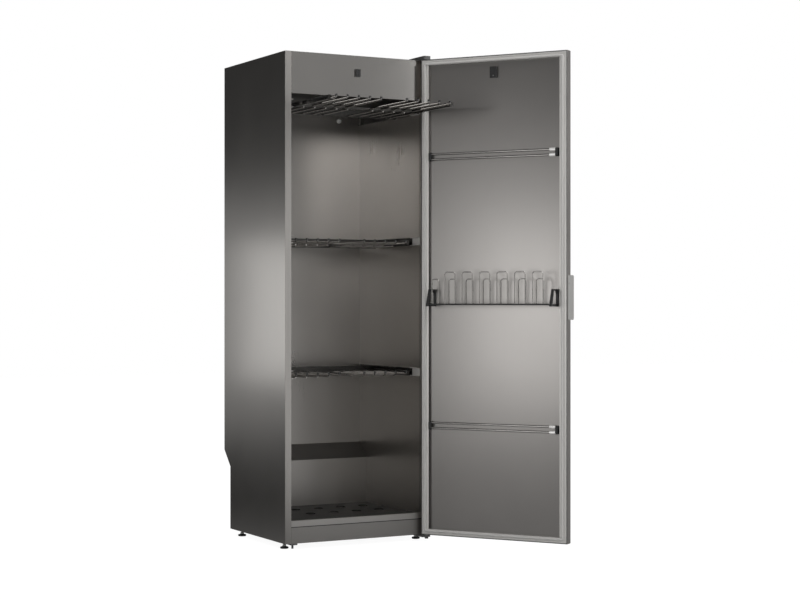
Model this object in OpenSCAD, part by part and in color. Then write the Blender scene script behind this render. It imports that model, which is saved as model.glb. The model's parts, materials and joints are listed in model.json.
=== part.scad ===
// Drying cabinet with an insulated full-height door and three two-stage pull-out hanging racks.
// Lengths are millimetres. Modules are written from the body's front left bottom corner
// (X right, Y back, Z up), and in_body() moves them so that the origin of the whole part
// is the centre of the body's footprint, on the floor.

/* [Body] */
// Width of the body
body_w = 595; // [580:1:610]
// Depth of the body without its door
body_d = 567; // [550:1:590]
// Height of the body without its feet
body_h = 1807; // [1790:1:1830]
// Height of the feet below the body
foot_h = 22; // [18:1:30]
// Thickness of a side wall
wall_t = 25; // [24:1:26]
// Thickness of the back wall
back_t = 58; // [56:1:62]
// Height of the fascia above the opening
fascia_h = 154; // [150:1:160]
// Height of the plinth below the opening
plinth_h = 61; // [58:1:63]
// Thickness of the sheet metal
sheet_t = 1; // [0.8:0.1:1.5]
// Depth of the step in the back near the floor
step_in = 59; // [50:1:62]
// Height where the outer step begins
step_low = 243; // [230:1:250]
// Height of the sloping part of the step
step_rise = 62; // [50:1:70]

/* [Door] */
// Height of the door
door_h = 1803; // [1780:1:1803]
// Height of the door's lower edge above the body's lower edge
door_z = 3; // [3:0.5:5]
// Thickness of the door
door_t = 32; // [30:1:36]
// Gap that the gasket fills when the door is shut
door_gap = 8; // [7:0.5:9]
// Angle of the door as modelled, 0 is shut
door_open = 124; // [90:1:124]
// Width of the door's inner frame at its sides
frame_w = 31; // [29:1:33]
// Width of the door's inner frame at its top and bottom
frame_h = 23; // [22:1:26]
// Depth of the recess inside the frame
recess = 14; // [13:0.5:14]
// Distance of the hinge axis from the door's side edge
hinge_in = 14.2; // [13.5:0.1:15]
// Distance of the hinge axis from the door's inner face
hinge_back = 15.3; // [15:0.1:16]

/* [Racks] */
// Height of the top rack's rods
rack_top = 1610; // [1605:1:1615]
// Distance between racks
rack_pitch = 499; // [480:1:500]
// Diameter of a hanging rod
rod_d = 7; // [6:0.5:8]
// Rods on each side of a rack's middle
rods_a_side = 5; // [3:1:5]
// Distance between rods
rod_pitch = 45; // [40:1:45]
// Distance of the first rod from the middle
rod_first = 52.5; // [45:0.5:52.5]
// Length of the front rods
rod_l = 302; // [280:1:302]
// Height of a rod's turned-up tip
tip_h = 8; // [7:1:14]
// Place of the rod tips behind the front when a rack is in
tip_in = 41; // [38:1:60]
// Pull of a whole rack, half of it in each stage
rack_pull = 333; // [300:1:333]
// Length of the rear rods
rear_rod_l = 200; // [160:1:210]

/* [Door fittings] */
// Height of the upper hanging rail above the body's lower edge
rail_high = 1436; // [1400:1:1460]
// Height of the lower hanging rail
rail_low = 419; // [400:1:450]
// Distance between a rail's two bars
rail_gap = 20; // [18:1:24]
// Height of the glove rack's base
glove_z = 876; // [860:1:900]
// Glove hoops in the front row, the rear row has one more
glove_count = 6; // [4:1:6]
// Distance between glove hoops
glove_pitch = 71; // [68:1:72]
// Width of a glove hoop
glove_w = 42; // [38:1:46]
// Height of the front glove hoops
glove_h = 122; // [100:1:130]
// Height of the rear glove hoops
glove_low_h = 96; // [80:1:100]
// Height of the handle
handle_h = 164; // [140:1:180]
// Height of the handle's lower end
handle_z = 821; // [800:1:850]

/* [Hidden] */
$fn = 48;

mid_x = body_w / 2;
// inside of the cabinet
in_left = wall_t;
in_right = body_w - wall_t;
in_back = body_d - back_t;
in_low_back = in_back - step_in;
in_top = body_h - fascia_h;
in_step_low = step_low + 17;
in_step_high = in_step_low + step_in;
rear_low = body_d - step_in;
step_high = step_low + step_rise;
// floor plate and sill
floor_z = 80;
sill_top = 83;
floor_hole_r = 18;
floor_hole_x = 98;
floor_rows = [198, 333];
// feet
foot_in = 20;
foot_rows = [50, 438];
foot_places = [for (x = [foot_in, body_w - foot_in], y = foot_rows) [x, y]];
// hinges
door_w = body_w;
hinge_x = body_w - hinge_in;
hinge_y = -door_gap - hinge_back;
pin_r = 4;
pin_l = 18;
bush_r = 7;
fit = 0.05;
hinge_plate_t = 4;
hinge_fold_h = 14;
// contact above the opening, which the door's contact meets
contact_z = 1742;
contact_w = 18;
contact_h = 28;
// slides: a channel on the wall, the carriage's runner in it, and the rack's side channel
// that runs on a bar of the carriage, clear of the swinging door
slide_w = 12.5;
slide_h = 30;
slide_low = -8;
slide_gap = 0.5;
slide_t = 1.5;
runner_x = wall_t + slide_t + slide_gap;
runner_w = 11;
runner_low = slide_low + slide_t + slide_gap;
runner_h = slide_h - 2 * (slide_t + slide_gap);
runner_l = 165;
side_x = 41.5;
side_w = 11.5;
side_low = -6;
side_h = 16;
side_front = 26;
rail_front = 9;
bracket_l = 57;
rail_end = 500;
stage_l = 230;
bar_h = 35;
bar_low = -13;
bar_x = runner_x + runner_w + 0.5;
rear_rod_z = -9;
// the modelled places of the racks: tips of the rods and front of the carriage bar
top_tip = -292;
top_bar = 177;
in_bar = tip_in + rod_l + 0.5;
// machine compartment
fan_x = mid_x;
fan_y = 250;
fan_r = 88;
fan_z = in_top + sheet_t;
fan_h = 70;
wheel_r = 74;
collar_r = 49.5;
collar_y = 410;
collar_h = 32;
// control panel on the door's outside
panel_w = 260;
panel_h = 46;
panel_z = 1740;
button_r = 9;
button_x = [60, 92, 200];
// hanging rails, glove rack and handle, in the door's own places
rail_out = 12;
rail_from = 42.5;
rail_to = 549;
rail_d = 7;
ferrule_l = 24;
end_w = 10;
end_out = 20;
end_h = 31;
glove_mid = 322;
glove_out = 64;
glove_base_h = 9;
glove_end_x = [46, 546];
glove_end_h = 58;
glove_d = 4;
glove_back = 22;
contact_front = 1.5;
contact_sink = 1.5;
contact_screw_z = panel_z - 13;
handle_out = 27;
handle_t = 2.5;
grip_back = 26;

module in_body() { translate([-body_w / 2, -body_d / 2, foot_h]) children(); }

// door places: X from the hinge side edge, Y from the inner face outwards, Z from the lower edge
module on_door() {
    in_body() translate([hinge_x, hinge_y, door_z]) rotate([0, 0, door_open])
        translate([hinge_in, hinge_back, 0]) rotate([0, 0, 180]) children();
}

// a shape drawn in depth and height, extruded across the width
module across(x, w) { translate([x, 0, 0]) rotate([90, 0, 90]) linear_extrude(w) children(); }

// a shape drawn in width and height, extruded backwards from y
module along(y, l) { translate([0, y + l, 0]) rotate([90, 0, 0]) linear_extrude(l) children(); }

module mirror_x() {
    children();
    translate([body_w, 0, 0]) mirror([1, 0, 0]) children();
}

module box(x, y, z) {
    translate([x[0], y[0], z[0]]) cube([x[1] - x[0], y[1] - y[0], z[1] - z[0]]);
}

module rounded(w, h, r) {
    translate([r, 0]) square([w - 2 * r, h]);
    translate([0, r]) square([w, h - 2 * r]);
    for (x = [r, w - r], y = [r, h - r]) translate([x, y]) circle(r);
}

module tube(r_out, r_in, h) {
    difference() {
        cylinder(r = r_out, h = h);
        translate([0, 0, -1]) cylinder(r = r_in, h = h + 2);
    }
}

// ---- outer sheets ----

module side_outline() {
    polygon([[0, 0], [rear_low, 0], [rear_low, step_low], [body_d, step_high],
        [body_d, body_h], [0, body_h]]);
}

module side_panel() {
    across(0, sheet_t) side_outline();
    box([0, wall_t], [0, sheet_t], [0, body_h]);
    box([wall_t - sheet_t, wall_t], [sheet_t, 14], [plinth_h, in_top]);
}

module left_side_panel() { color("#6f6c68") in_body() side_panel(); }

module right_side_panel() {
    color("#6f6c68") in_body() translate([body_w, 0, 0]) mirror([1, 0, 0]) side_panel();
}

module rear_profile(t) {
    slope = t * 0.4;
    polygon([[rear_low, 0], [rear_low, step_low], [body_d, step_high], [body_d, body_h],
        [body_d - t, body_h], [body_d - t, step_high + slope],
        [rear_low - t, step_low + slope], [rear_low - t, 0]]);
}

module rear_panel() {
    color("#8a8a88") in_body() difference() {
        across(sheet_t, body_w - 2 * sheet_t) rear_profile(sheet_t);
        translate([480, body_d + 1, 1740]) rotate([90, 0, 0]) cylinder(r = 10, h = 4);
    }
}

module top_panel() {
    color("#55534f") in_body() difference() {
        box([sheet_t, body_w - sheet_t], [sheet_t, body_d - sheet_t],
            [body_h - sheet_t, body_h]);
        translate([mid_x, collar_y, body_h - 5]) cylinder(r = collar_r, h = 10);
    }
}

module base_pan() {
    color("#5c5c5c") in_body() difference() {
        union() {
            box([sheet_t, body_w - sheet_t], [sheet_t, rear_low - sheet_t], [0, sheet_t]);
            box([wall_t + 2, in_right - 2], [4, 4 + sheet_t], [sheet_t, plinth_h - 8]);
        }
        for (p = foot_places) translate([p[0], p[1], -1]) cylinder(r = 4, h = 5);
    }
}

module levelling_feet() {
    color("#2c2c2c") in_body() for (p = foot_places) translate([p[0], p[1], 0]) {
        translate([0, 0, -foot_h]) cylinder(r = 15.5, h = 7);
        translate([0, 0, 7 - foot_h]) cylinder(r1 = 15.5, r2 = 9, h = 3);
        translate([0, 0, 10 - foot_h]) cylinder(r = 8, h = 5, $fn = 6);
        translate([0, 0, 15 - foot_h]) cylinder(r = 4, h = foot_h);
    }
}

// ---- front ----

module contact_block(w, h, y) {
    box([mid_x - w / 2, mid_x + w / 2], y, [contact_z - h / 2, contact_z + h / 2]);
}

module fascia() {
    color("#7d7974") in_body() difference() {
        union() {
            box([in_left, in_right], [0, sheet_t], [in_top, body_h - sheet_t]);
            box([in_left, in_right], [sheet_t, 12], [in_top, in_top + sheet_t]);
        }
        contact_block(contact_w - 4, contact_h - 4, [-5, 10]);
    }
}

module plinth() {
    color("#7d7974") in_body() {
        box([in_left, in_right], [0, sheet_t], [0, plinth_h - 1]);
        box([in_left, in_right], [sheet_t, 4], [plinth_h - 1 - sheet_t, plinth_h - 1]);
    }
}

module sill_strip() {
    color("#a5a19b") in_body() {
        box([in_left, in_right], [0, sheet_t], [plinth_h, sill_top]);
        box([in_left, in_right], [sheet_t, 13], [sill_top - sheet_t, sill_top]);
        box([in_left, in_right], [sheet_t, 22], [plinth_h, plinth_h + sheet_t]);
    }
}

module cabinet_contact() {
    color("#1b1b1b") in_body() difference() {
        union() {
            contact_block(contact_w, contact_h, [-9, 0]);
            contact_block(contact_w - 4, contact_h - 4, [0, 8]);
        }
        for (z = [-8, 0, 8]) translate([mid_x, -10, contact_z + z]) rotate([-90, 0, 0])
            cylinder(r = 2, h = 4);
    }
}

// ---- inside ----

module inner_outline(front) {
    polygon([[front, plinth_h], [in_low_back, plinth_h], [in_low_back, in_step_low],
        [in_back, in_step_high], [in_back, in_top], [front, in_top]]);
}

module liner_left() {
    color("#8b8781") in_body() across(in_left - sheet_t, sheet_t) inner_outline(14);
}

module liner_right() {
    color("#8b8781") in_body() across(in_right, sheet_t) inner_outline(14);
}

module liner_back() {
    slope = sheet_t * 0.414;
    color("#8b8781") in_body() difference() {
        across(in_left, body_w - 2 * wall_t) polygon([
            [in_low_back, plinth_h], [in_low_back, in_step_low], [in_back, in_step_high],
            [in_back, in_top], [in_back + sheet_t, in_top],
            [in_back + sheet_t, in_step_high - slope],
            [in_low_back + sheet_t, in_step_low - slope], [in_low_back + sheet_t, plinth_h]]);
        translate([475, in_back - 1, 1617]) rotate([-90, 0, 0]) cylinder(r = 5, h = 5);
    }
}

module liner_ceiling() {
    color("#6d6964") in_body() difference() {
        box([in_left, in_right], [12, in_back], [in_top, in_top + sheet_t]);
        translate([fan_x, fan_y, in_top - 2]) {
            for (a = [0:60:300]) rotate([0, 0, a]) translate([27, 0, 0]) cylinder(r = 9, h = 6);
            cylinder(r = 9, h = 6);
        }
        box([mid_x - 140, mid_x + 140], [470, 495], [in_top - 2, in_top + 4]);
    }
}

module wall_board() { across(sheet_t, wall_t - 2 * sheet_t) inner_outline(14.5); }

module insulation_boards() {
    color("#e8e4d8") in_body() {
        wall_board();
        translate([body_w, 0, 0]) mirror([1, 0, 0]) wall_board();
        // the back board is cut away for the air duct
        for (x = [[wall_t, mid_x - 152], [mid_x + 152, in_right]])
            across(x[0], x[1] - x[0]) polygon([
                [in_back + sheet_t, in_step_high + 2], [body_d - sheet_t, step_high + 12],
                [body_d - sheet_t, in_top - 30], [in_back + sheet_t, in_top - 30]]);
    }
}

// the duct follows the step in the back, from the base up to the machine compartment
module duct_profile(t, over) {
    near = 6 + t;
    far = 46 - t;
    polygon([[in_low_back + near, 10 - over], [in_low_back + near, in_step_low - 2],
        [in_back + near, in_step_high - 2], [in_back + near, in_top - 2 + over],
        [in_back + far, in_top - 2 + over], [in_back + far, step_high],
        [in_low_back + far, step_low], [in_low_back + far, 10 - over]]);
}

module air_duct() {
    color("#b9bcbd") in_body() difference() {
        across(mid_x - 150, 300) duct_profile(0, 0);
        across(mid_x - 148, 296) duct_profile(2, 5);
    }
}

module floor_plate() {
    color("#3b3a38") in_body() difference() {
        box([in_left + 1, in_right - 1], [13.5, in_low_back - 1], [floor_z - sheet_t, floor_z]);
        for (y = floor_rows, n = [-2:2])
            translate([mid_x + n * floor_hole_x, y, floor_z - 5]) cylinder(r = floor_hole_r, h = 10);
    }
}

module heater() {
    run = 340;
    gap = 60;
    color("#9a958c") in_body() translate([mid_x - run / 2, 110, 38]) {
        for (n = [0:3]) translate([0, n * gap, 0]) rotate([0, 90, 0]) cylinder(r = 4, h = run);
        for (n = [0, 2]) translate([run, (n + 0.5) * gap, 0]) rotate([0, 0, -90])
            rotate_extrude(angle = 180) translate([gap / 2, 0]) circle(4);
        translate([0, 1.5 * gap, 0]) rotate([0, 0, 90])
            rotate_extrude(angle = 180) translate([gap / 2, 0]) circle(4);
        for (x = [60, run - 60])
            translate([x, -12, sheet_t - 38]) cube([3, 3 * gap + 24, 44 - sheet_t]);
    }
}

// ---- machine compartment ----

module fan_housing() {
    duct_w = 110;
    color("#8f9294") in_body() translate([fan_x, fan_y, fan_z]) difference() {
        union() {
            cylinder(r = fan_r, h = fan_h);
            translate([-duct_w / 2, 0, 0]) cube([duct_w, 225, fan_h]);
        }
        translate([0, 0, 2]) cylinder(r = fan_r - 2, h = fan_h - 4);
        translate([2 - duct_w / 2, 0, 2]) cube([duct_w - 4, 223, fan_h - 4]);
        translate([0, 0, -1]) cylinder(r = 42, h = 5);
        translate([0, 0, fan_h - 4]) cylinder(r = 12, h = 8);
        translate([0, collar_y - fan_y, fan_h - 4]) cylinder(r = collar_r, h = 8);
    }
}

module fan_motor() {
    color("#303236") in_body() translate([fan_x, fan_y, fan_z]) {
        translate([0, 0, fan_h]) cylinder(r = 40, h = 5);
        translate([0, 0, fan_h + 5]) cylinder(r = 32, h = 42);
        translate([0, 0, fan_h + 47]) cylinder(r = 10, h = 8);
        translate([0, 0, 12]) cylinder(r = 4, h = fan_h - 12);
    }
}

module fan_impeller() {
    blades = 12;
    color("#c9ccd0") in_body() translate([fan_x, fan_y, fan_z + 10]) difference() {
        union() {
            cylinder(r = 14, h = 40);
            translate([0, 0, 38]) cylinder(r = wheel_r, h = 2);
            for (n = [0:blades - 1]) rotate([0, 0, n * 360 / blades])
                translate([48, -1, 0]) rotate([0, 0, 30]) cube([26, 2, 38.5]);
        }
        translate([0, 0, 1.5]) cylinder(r = 4 + fit, h = 50);
    }
}

module exhaust_collar() {
    color("#9b9ea0") in_body() translate([mid_x, collar_y, 0]) {
        translate([0, 0, fan_z + fan_h - 2])
            tube(collar_r, collar_r - 2, body_h + collar_h - fan_z - fan_h + 2);
        translate([0, 0, body_h]) tube(62, collar_r, 2);
    }
}

module control_box() {
    color("#d8d8d2") in_body() difference() {
        box([60, 190], [60, 200], [in_top + sheet_t, in_top + 76]);
        box([62, 188], [62, 198], [in_top + 4, in_top + 74]);
        translate([125, 202, in_top + 40]) rotate([90, 0, 0]) cylinder(r = 8, h = 6);
    }
}

module air_sensor() {
    color("#e4e2de") in_body() translate([475, in_back, 1617]) rotate([90, 0, 0]) {
        cylinder(r = 9, h = 6);
        translate([0, 0, 6]) cylinder(r1 = 9, r2 = 5, h = 4);
        translate([0, 0, -sheet_t]) cylinder(r = 5, h = sheet_t);
    }
}

module cable_gland() {
    color("#1d1d1d") in_body() translate([480, body_d + 8, 1740]) rotate([90, 0, 0]) {
        tube(14, 4.5, 8);
        translate([0, 0, 8]) tube(10, 4.5, 12);
    }
}

// ---- hinges ----

// a plate over the body's corner, folded up along its left and front, with the pin below it
module top_hinge() {
    left = hinge_x - 17;
    front = hinge_y - 13;
    plate_w = 27;
    plate_l = 84 - front;
    cut = 5;
    fold_t = 2;
    color("#4a4a4a") in_body() {
        translate([left, front, body_h]) linear_extrude(hinge_plate_t)
            polygon([[0, cut], [cut, 0], [plate_w, 0], [plate_w, plate_l], [0, plate_l]]);
        translate([left, front, body_h]) linear_extrude(hinge_fold_h)
            polygon([[0, plate_l], [0, cut], [cut, 0], [plate_w, 0], [plate_w, fold_t],
                [cut + 1, fold_t], [fold_t, cut + 1], [fold_t, plate_l]]);
        translate([hinge_x, hinge_y, body_h - pin_l]) cylinder(r = pin_r, h = pin_l);
    }
}

module bottom_hinge() {
    front = hinge_y - 13;
    color("#4a4a4a") in_body() {
        box([556, 590], [front, 38], [-6, 0]);
        translate([hinge_x, hinge_y, -13]) cylinder(r = 8, h = 7, $fn = 6);
        translate([hinge_x, hinge_y, 0]) cylinder(r = pin_r, h = pin_l);
        // the unused seat on the left, for a door hung on the other side
        box([22, 48], [-4, 30], [-5, 0]);
        translate([35, 12, -19]) cylinder(r = 4, h = 14);
    }
}

module screw_head(r = 4) { cylinder(r = r, h = r / 2); }

module cabinet_screws() {
    color("#b0b0ac") in_body() {
        for (p = [[573, 18], [583, 42], [573, 66]])
            translate([p[0], p[1], body_h + hinge_plate_t]) screw_head();
        for (x = [564, 582]) translate([x, 25, -6]) mirror([0, 0, 1]) screw_head();
        for (x = [20, mid_x - 60, mid_x + 60, body_w - 20], z = [340, body_h - 20])
            translate([x, body_d, z]) rotate([-90, 0, 0]) screw_head();
    }
}

// ---- slides on the walls ----

// a channel open to the right, drawn in width and height
module channel(x, w, low, h, t) {
    translate([x, low]) difference() {
        square([w, h]);
        translate([t, t]) square([w, h - 2 * t]);
    }
}

function rack_z(n) = rack_top - n * rack_pitch;

module wall_rails() {
    color("#55534f") in_body() mirror_x() for (n = [0:2]) translate([in_left, 0, rack_z(n)])
        along(rail_front + bracket_l, rail_end - rail_front - bracket_l)
            channel(0, slide_w, slide_low, slide_h, slide_t);
}

module rail_brackets() {
    color("#c4c2bd") in_body() mirror_x() for (n = [0:2]) translate([in_left, 0, rack_z(n)])
        along(rail_front, bracket_l) channel(0, slide_w, slide_low, slide_h, slide_t);
}

// ---- racks ----

rod_x = [for (side = [-1, 1], n = [0:rods_a_side - 1]) mid_x + side * (rod_first + n * rod_pitch)];

// the middle stage: on each side a runner, a web and a bar, joined by a tall crossbar
module carriage(bar_y, z) {
    play = slide_t + slide_gap;
    color("#6a6763") in_body() translate([0, bar_y, z]) {
        mirror_x() {
            along(-runner_l, runner_l) channel(runner_x, runner_w, runner_low, runner_h, slide_t);
            box([runner_x + 0.5, bar_x + 1], [-2, 1.5], [runner_low + 3, runner_low + runner_h - 3]);
            box([runner_x + 1, side_x + 2], [1 - runner_l, 1], [0, 4]);
            box([side_x + slide_gap, side_x + side_w - play], [-stage_l, 1],
                [side_low + play, side_low + side_h - play]);
        }
        box([bar_x, body_w - bar_x], [0, 2], [bar_low, bar_low + bar_h]);
        box([bar_x, body_w - bar_x], [2, 10], [bar_low, bar_low + 2]);
        box([bar_x, body_w - bar_x], [2, 10], [bar_low + bar_h - 2, bar_low + bar_h]);
    }
}

module carriage_rods(bar_y, z) {
    color("#45423f") in_body() for (x = rod_x) translate([x, bar_y - rear_rod_l, z + rear_rod_z])
        rotate([-90, 0, 0]) cylinder(d = rod_d - 1, h = rear_rod_l);
}

// the front stage: two side channels, joined by a bar behind the rods
module rack_frame(tip_y, z) {
    color("#6a6763") in_body() translate([0, tip_y, z]) {
        mirror_x() along(side_front, rod_l - side_front) translate([side_x + side_w, 0])
            mirror([1, 0]) channel(0, side_w, side_low, side_h, slide_t);
        box([side_x + side_w, body_w - side_x - side_w], [rod_l - 10, rod_l], [-5, 5]);
    }
}

module rack_rod() {
    bend = 6;
    straight = rod_l - 10 - bend - rod_d / 2;
    translate([0, rod_l - 10, 0]) rotate([90, 0, 0]) cylinder(d = rod_d, h = straight);
    translate([0, rod_l - 10 - straight, bend]) rotate([-90, 0, 90]) rotate([0, 0, 90])
        rotate_extrude(angle = 90) translate([bend, 0]) circle(d = rod_d);
    translate([0, rod_d / 2, bend]) cylinder(d = rod_d, h = tip_h + rod_d / 2 - bend);
}

module rack_rods(tip_y, z) {
    color("#45423f") in_body() for (x = rod_x) translate([x, tip_y, z]) rack_rod();
}

module top_carriage() { carriage(top_bar, rack_z(0)); }
module top_carriage_rods() { carriage_rods(top_bar, rack_z(0)); }
module top_rack_frame() { rack_frame(top_tip, rack_z(0)); }
module top_rack_rods() { rack_rods(top_tip, rack_z(0)); }
module middle_carriage() { carriage(in_bar, rack_z(1)); }
module middle_carriage_rods() { carriage_rods(in_bar, rack_z(1)); }
module middle_rack_frame() { rack_frame(tip_in, rack_z(1)); }
module middle_rack_rods() { rack_rods(tip_in, rack_z(1)); }
module bottom_carriage() { carriage(in_bar, rack_z(2)); }
module bottom_carriage_rods() { carriage_rods(in_bar, rack_z(2)); }
module bottom_rack_frame() { rack_frame(tip_in, rack_z(2)); }
module bottom_rack_rods() { rack_rods(tip_in, rack_z(2)); }

// ---- door ----

// a rectangular ring whose outer edge is inset by side and top, with its own width
module door_ring(side, top, w, y) {
    difference() {
        box([side, door_w - side], y, [top, door_h - top]);
        box([side + w, door_w - side - w], [y[0] - 1, y[1] + 1], [top + w, door_h - top - w]);
    }
}

module hinge_bores(r) {
    for (z = [-1, door_h - 21]) translate([hinge_in, hinge_back, z]) cylinder(r = r, h = 22);
}

module panel_cut(grow) {
    box([door_w / 2 - panel_w / 2 + grow, door_w / 2 + panel_w / 2 - grow],
        [door_t - 12, door_t + 1], [panel_z - panel_h / 2 + grow, panel_z + panel_h / 2 - grow]);
}

module door_skin() {
    color("#6f6c68") on_door() difference() {
        cube([door_w, door_t, door_h]);
        box([sheet_t, door_w - sheet_t], [-1, door_t - sheet_t], [sheet_t, door_h - sheet_t]);
        hinge_bores(bush_r);
        panel_cut(2);
    }
}

module door_insulation() {
    color("#e8e4d8") on_door() difference() {
        box([sheet_t + 0.5, door_w - sheet_t - 0.5], [recess + sheet_t, door_t - sheet_t],
            [sheet_t + 0.5, door_h - sheet_t - 0.5]);
        hinge_bores(bush_r + 0.5);
        panel_cut(-0.5);
    }
}

module door_frame() {
    color("#a8a49e") on_door() difference() {
        union() {
            difference() {
                box([sheet_t, door_w - sheet_t], [0, sheet_t], [sheet_t, door_h - sheet_t]);
                box([frame_w, door_w - frame_w], [-1, sheet_t + 1], [frame_h, door_h - frame_h]);
            }
            difference() {
                box([frame_w - sheet_t, door_w - frame_w + sheet_t], [0, recess],
                    [frame_h - sheet_t, door_h - frame_h + sheet_t]);
                box([frame_w, door_w - frame_w], [-1, recess + 1], [frame_h, door_h - frame_h]);
            }
        }
        door_ring(15, 15, 4, [-1, sheet_t + 1]);
    }
}

module door_gasket() {
    color("#77746f") on_door() {
        door_ring(12.5, 12.5, 9, [-3, 0]);
        door_ring(14, 14, 6, [0.6 - door_gap, -3]);
        door_ring(15, 15, 4, [0, 5]);
    }
}

module door_liner() {
    color("#8f8b85") on_door()
        box([frame_w - 6, door_w - frame_w + 6], [recess, recess + sheet_t], [5, door_h - 5]);
}

module door_handle() {
    z = handle_z - door_z;
    reach = door_t + handle_out;
    color("#a5a29c") on_door() {
        translate([door_w, 0, z]) across(0, handle_t)
            translate([4, 0]) rounded(reach - 4, handle_h, 7);
        box([door_w - grip_back, door_w], [reach - handle_t, reach], [z + 7, z + handle_h - 7]);
    }
}

module door_screws() {
    z = handle_z - door_z;
    color("#b0b0ac") on_door() {
        for (dz = [30, handle_h - 30]) translate([door_w + handle_t, door_t / 2, z + dz])
            rotate([0, 90, 0]) screw_head(3);
        translate([door_w / 2, contact_front + contact_sink, contact_screw_z]) rotate([90, 0, 0])
            screw_head(2);
    }
}

module hinge_bushes() {
    bush_l = 21;
    color("#e6e6e2") on_door() translate([hinge_in, hinge_back, 0]) {
        tube(bush_r, pin_r + fit, bush_l);
        translate([0, 0, -door_z + 0.4]) tube(9, pin_r + fit, door_z - 0.4);
        translate([0, 0, door_h - bush_l]) tube(bush_r, pin_r + fit, bush_l);
    }
}

module control_panel() {
    left = door_w / 2 - panel_w / 2;
    color("#161616") on_door() difference() {
        union() {
            box([left, left + panel_w], [door_t, door_t + 2],
                [panel_z - panel_h / 2, panel_z + panel_h / 2]);
            box([left + 2, left + panel_w - 2], [door_t - 10, door_t],
                [panel_z - panel_h / 2 + 2, panel_z + panel_h / 2 - 2]);
        }
        for (x = button_x) translate([left + x, door_t - 6, panel_z]) rotate([-90, 0, 0])
            cylinder(r = button_r + fit, h = 10);
        box([left + 106, left + 178], [door_t + 0.5, door_t + 3], [panel_z - 14, panel_z + 14]);
    }
}

module display_window() {
    left = door_w / 2 - panel_w / 2;
    color("#20303a") on_door()
        box([left + 106, left + 178], [door_t + 0.5, door_t + 2.2], [panel_z - 14, panel_z + 14]);
}

module push_button(n) {
    left = door_w / 2 - panel_w / 2;
    color("#3a3a3a") on_door() translate([left + button_x[n], door_t - 3.5, panel_z])
        rotate([-90, 0, 0]) cylinder(r = button_r, h = 7);
}

module power_button() { push_button(0); }
module program_button() { push_button(1); }
module start_button() { push_button(2); }

module door_contact() {
    color("#262626") on_door() difference() {
        box([door_w / 2 - 13.5, door_w / 2 + 13.5], [contact_front, recess],
            [panel_z - 21, panel_z + 21]);
        translate([door_w / 2, contact_front - 1, contact_screw_z]) rotate([-90, 0, 0])
            cylinder(r = 3, h = contact_sink + 1);
    }
}

// ---- fittings on the inside of the door ----

module door_rails() {
    color("#c8c5bf") on_door() for (rail = [rail_high, rail_low], side = [-1, 1])
        translate([rail_from, recess - rail_out, rail - door_z + side * rail_gap / 2])
            rotate([0, 90, 0]) {
                cylinder(d = rail_d, h = rail_to - rail_from);
                translate([0, 0, rail_to - rail_from - ferrule_l])
                    cylinder(d = rail_d + 5, h = ferrule_l);
            }
}

module rail_ends() {
    color("#1d1d1d") on_door() for (rail = [rail_high, rail_low], x = [rail_from - end_w, rail_to])
        translate([x, 0, rail - door_z]) across(0, end_w)
            translate([recess - end_out, -end_h / 2]) rounded(end_out, end_h, 5);
}

// an upright wire hoop of two legs, two bends and a top, standing on its lower ends
module hoop(w, h, d, bend) {
    for (side = [-1, 1]) {
        translate([side * w / 2, 0, 0]) cylinder(d = d, h = h - bend);
        translate([side * (w / 2 - bend), 0, h - bend]) rotate([90, side < 0 ? -90 : 0, 0])
            rotate_extrude(angle = 90) translate([bend, 0]) circle(d = d);
    }
    translate([bend - w / 2, 0, h]) rotate([0, 90, 0]) cylinder(d = d, h = w - 2 * bend);
}

module glove_rack() {
    base = glove_z - door_z + glove_base_h / 2;
    front = recess - glove_out;
    color("#8d8a85") on_door() for (n = [-1:glove_count - 1])
        translate([glove_mid + (n - (glove_count - 1) / 2) * glove_pitch, front, base]) {
            if (n >= 0) hoop(glove_w, glove_h - glove_base_h / 2, glove_d, 10);
            translate([0, glove_back, 0])
                hoop(glove_w - 13, glove_low_h - glove_base_h / 2, glove_d, 10);
        }
}

// two base bars between looped end brackets
module glove_ends() {
    front = recess - glove_out;
    bar_t = 5;
    color("#1d1d1d") on_door() translate([0, 0, glove_z - door_z]) {
        for (y = [front, front + glove_back])
            box([glove_end_x[0] + end_w, glove_end_x[1]], [y - bar_t / 2, y + bar_t / 2],
                [-glove_base_h / 2, glove_base_h / 2]);
        for (x = glove_end_x) translate([x, 0, 0]) across(0, end_w) difference() {
            polygon([[recess, -6], [front - 6, -6], [front + 16, glove_end_h],
                [recess - 10, glove_end_h], [recess, glove_end_h - 14]]);
            polygon([[recess - 8, 6], [front + 8, 6], [front + 22, glove_end_h - 10],
                [recess - 14, glove_end_h - 10], [recess - 8, glove_end_h - 19]]);
        }
    }
}

left_side_panel();
right_side_panel();
rear_panel();
top_panel();
base_pan();
fascia();
plinth();
sill_strip();
liner_left();
liner_right();
liner_back();
liner_ceiling();
insulation_boards();
floor_plate();
heater();
fan_housing();
fan_motor();
fan_impeller();
exhaust_collar();
control_box();
air_duct();
air_sensor();
cabinet_contact();
levelling_feet();
top_hinge();
bottom_hinge();
wall_rails();
rail_brackets();
cabinet_screws();
cable_gland();
top_carriage();
top_carriage_rods();
top_rack_frame();
top_rack_rods();
middle_carriage();
middle_carriage_rods();
middle_rack_frame();
middle_rack_rods();
bottom_carriage();
bottom_carriage_rods();
bottom_rack_frame();
bottom_rack_rods();
door_skin();
door_insulation();
door_frame();
door_gasket();
door_liner();
door_handle();
door_screws();
hinge_bushes();
control_panel();
display_window();
power_button();
program_button();
start_button();
door_contact();
door_rails();
rail_ends();
glove_rack();
glove_ends();
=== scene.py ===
# %% [markdown]
# # A drying cabinet with pull-out hanging racks
# The cabinet is a folded sheet metal box with a tall door. Its solids come from the CAD frame, so
# every panel, rod and hinge already has its real size. What this lesson adds is what a drawing
# office leaves out: rounded sheet edges, brushed and painted finishes, rubber, small plastic caps,
# rivets, and a studio to look at it in.

import json
import math

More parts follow.
